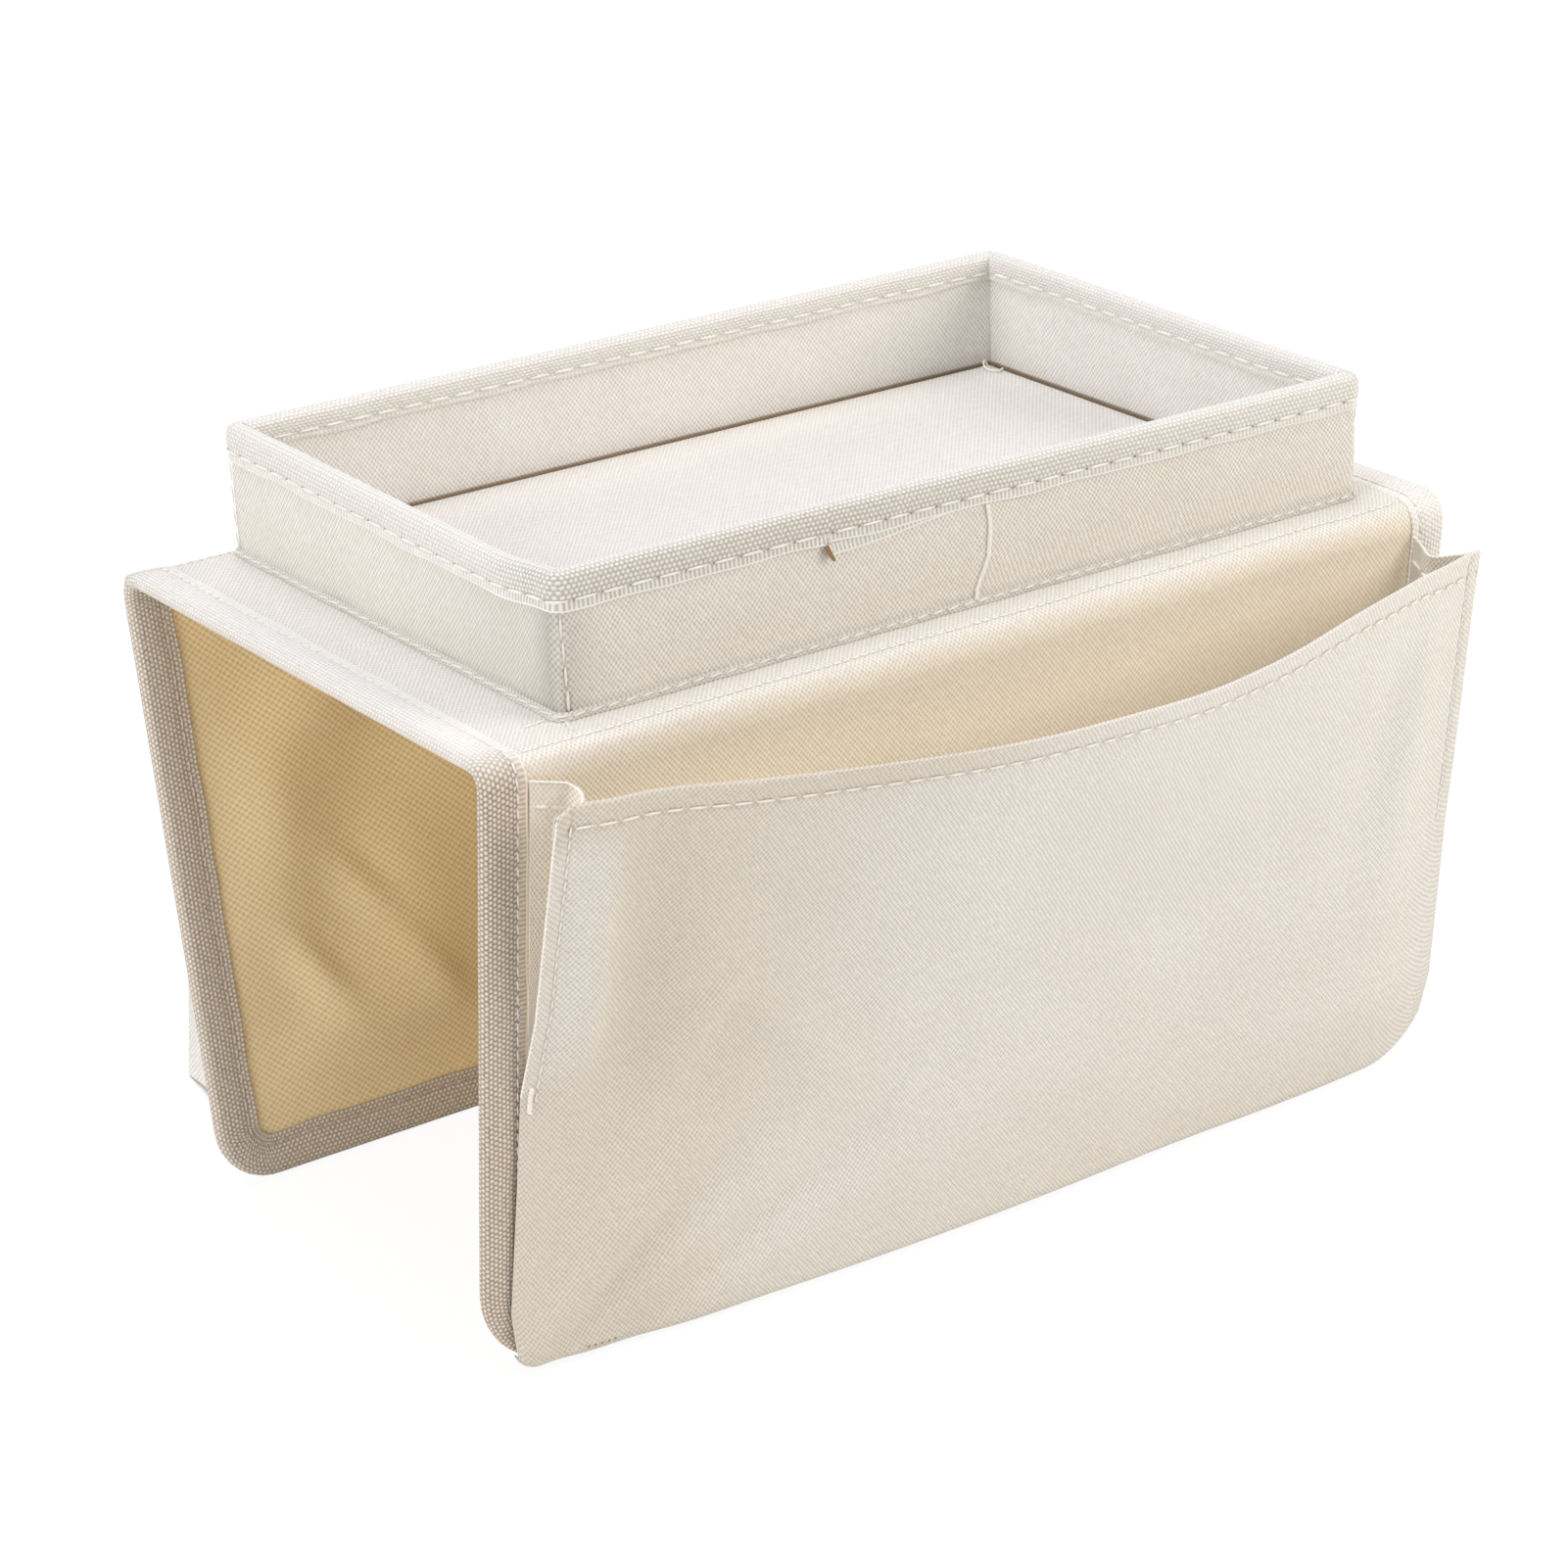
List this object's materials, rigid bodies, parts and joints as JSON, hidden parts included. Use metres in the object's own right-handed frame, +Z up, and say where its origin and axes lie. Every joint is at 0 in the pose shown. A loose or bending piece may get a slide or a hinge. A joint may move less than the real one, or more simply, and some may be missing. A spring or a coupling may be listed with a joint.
{
  "type": "sofa armrest organizer",
  "caption": "Cloth saddle that hangs over a sofa armrest, with a board-stiffened tray on top, a pleated pocket on the front flap and a boxed pocket on the rear flap.",
  "frame": {"origin": "middle of the lining face under the saddle that lies on the armrest", "axes": "+X along the armrest, to the right as seen from the front; +Y from the front flap with the big pocket to the rear flap; +Z up"},
  "size_m": [0.336, 0.2395, 0.2245],
  "materials": {
    "cream_cloth": "cream plain-weave oxford cloth",
    "lining_cloth": "thin woven lining, seen golden where light comes through",
    "edge_tape": "cream ribbed woven edge tape",
    "stiffener_board": "hidden flat stiffener sheet"
  },
  "bodies": {
    "saddle": {"top_cover": "cream_cloth", "top_board": "stiffener_board", "top_lining": "lining_cloth", "left_top_binding": "edge_tape", "right_top_binding": "edge_tape", "front_fold": "cream_cloth", "rear_fold": "cream_cloth", "front_fold_left_binding": "edge_tape", "front_fold_right_binding": "edge_tape", "rear_fold_left_binding": "edge_tape", "rear_fold_right_binding": "edge_tape", "tray_wall_cover": "cream_cloth", "tray_wall_lining": "cream_cloth", "tray_front_board": "stiffener_board", "tray_rear_board": "stiffener_board", "tray_left_board": "stiffener_board", "tray_right_board": "stiffener_board", "tray_rim_binding": "edge_tape", "tray_base_welt": "cream_cloth"},
    "tray_floor": {"tray_floor_cover": "cream_cloth", "tray_floor_board": "stiffener_board"},
    "front_flap": {"front_flap_cover": "cream_cloth", "front_flap_board": "stiffener_board", "front_flap_lining": "lining_cloth", "front_flap_binding": "edge_tape", "front_pocket_left_gusset": "cream_cloth", "front_pocket_right_gusset": "cream_cloth"},
    "front_pocket": {"front_pocket_panel": "cream_cloth"},
    "rear_flap": {"rear_flap_cover": "cream_cloth", "rear_flap_board": "stiffener_board", "rear_flap_lining": "lining_cloth", "rear_flap_binding": "edge_tape", "rear_pocket_left_gusset": "cream_cloth", "rear_pocket_right_gusset": "cream_cloth", "rear_pocket_bottom": "cream_cloth"},
    "rear_pocket": {"rear_pocket_panel": "cream_cloth"}
  },
  "joints": [
    {"name": "front_flap_fold", "type": "hinge", "parent": "saddle", "child": "front_flap", "pos_m": [0, -0.09406, 0.00136], "axis": [-1, 0, 0], "range_deg": [-12, 95], "deforming": ["front_fold", "front_fold_left_binding", "front_fold_right_binding"]},
    {"name": "rear_flap_fold", "type": "hinge", "parent": "saddle", "child": "rear_flap", "pos_m": [0, 0.09406, 0.00136], "axis": [1, 0, 0], "range_deg": [-8, 100], "deforming": ["rear_fold", "rear_fold_left_binding", "rear_fold_right_binding"]},
    {"name": "front_pocket_open", "type": "hinge", "parent": "front_flap", "child": "front_pocket", "pos_m": [0, -0.08293, -0.18074], "axis": [1, 0, 0], "range_deg": [0, 8], "deforming": ["front_pocket_left_gusset", "front_pocket_right_gusset"]},
    {"name": "rear_pocket_open", "type": "hinge", "parent": "rear_flap", "child": "rear_pocket", "pos_m": [0, 0.09707, -0.1582], "axis": [-1, 0, 0], "range_deg": [0, 12], "deforming": ["rear_pocket_left_gusset", "rear_pocket_right_gusset"]},
    {"name": "tray_floor_lift", "type": "slide", "parent": "saddle", "child": "tray_floor", "axis": [0, 0, 1], "range_m": [0, 0.06]}
  ]
}
